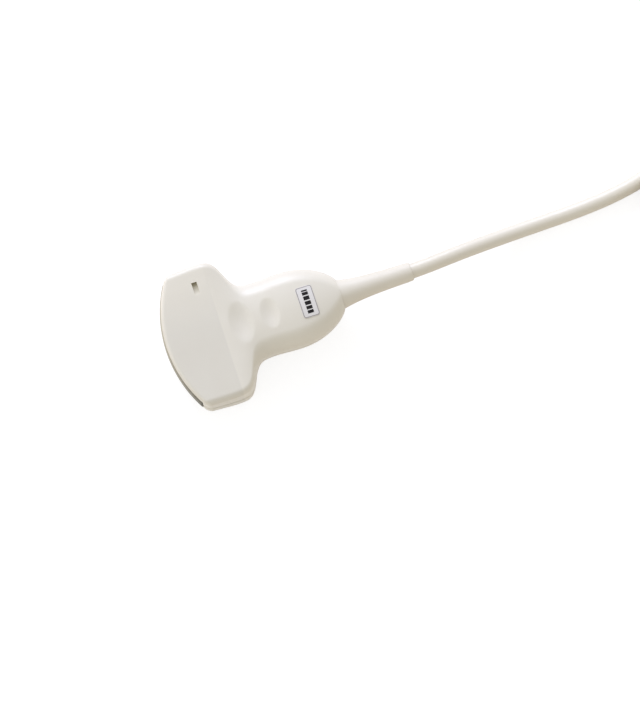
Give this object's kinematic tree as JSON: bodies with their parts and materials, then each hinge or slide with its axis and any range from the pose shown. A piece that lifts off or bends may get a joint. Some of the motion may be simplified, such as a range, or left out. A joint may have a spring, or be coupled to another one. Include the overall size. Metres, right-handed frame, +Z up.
{
  "type": "ultrasound transducer probe",
  "caption": "Hand-held convex ultrasound transducer: wide head with a curved lens strip, waisted grip with finger dimples, strain relief, coiled cable and multi-way plug.",
  "frame": {"origin": "on the surface it lies on, under the middle of the hand piece's box, without its cable, coil and plug", "axes": "+X from the lens to the cable, +Y across the head towards the orientation recess, +Z up out of the front face"},
  "size_m": [0.385, 0.104, 0.0282],
  "materials": {
    "cream_plastic": "satin",
    "lens_rubber": "matte",
    "label_film": "satin",
    "boot_rubber": "satin",
    "cable_jacket": "satin",
    "matching_film": "matte",
    "piezo_ceramic": "matte",
    "backing_epoxy": "matte",
    "aluminium": "satin",
    "steel": "satin",
    "polyimide_flex": "gloss",
    "board_laminate": "satin",
    "black_plastic": "satin",
    "tinned_steel": "satin",
    "wire_bundle": "satin",
    "brass": "satin",
    "grey_plastic": "satin",
    "strap_fabric": "matte"
  },
  "bodies": {
    "root": {"front_shell": "cream_plastic", "back_shell": "cream_plastic", "acoustic_lens": "lens_rubber", "matching_layer_outer": "matching_film", "matching_layer_inner": "matching_film", "piezo_array": "piezo_ceramic", "backing_block": "backing_epoxy", "array_carrier": "aluminium", "carrier_screw_left": "steel", "carrier_screw_right": "steel", "flex_circuit_front": "polyimide_flex", "flex_circuit_back": "polyimide_flex", "circuit_board": "board_laminate", "board_socket_front": "black_plastic", "board_socket_back": "black_plastic", "board_screw_left": "steel", "board_screw_right": "steel", "memory_chip": "black_plastic", "shield_can": "tinned_steel", "coax_comb": "grey_plastic", "wire_loom": "wire_bundle", "crimp_ferrule": "brass", "strain_relief_boot": "boot_rubber", "cable_in_boot": "cable_jacket", "label_plate": "label_film", "cable_lead": "cable_jacket", "cable_coil": "cable_jacket", "coil_tie": "strap_fabric", "cable_tail": "cable_jacket", "plug_boot": "boot_rubber", "cable_in_plug": "cable_jacket", "plug_hood_upper": "grey_plastic", "plug_hood_lower": "grey_plastic", "plug_shell": "tinned_steel", "plug_insulator": "black_plastic", "hood_screw_left": "steel", "hood_screw_right": "steel"}
  },
  "joints": []
}
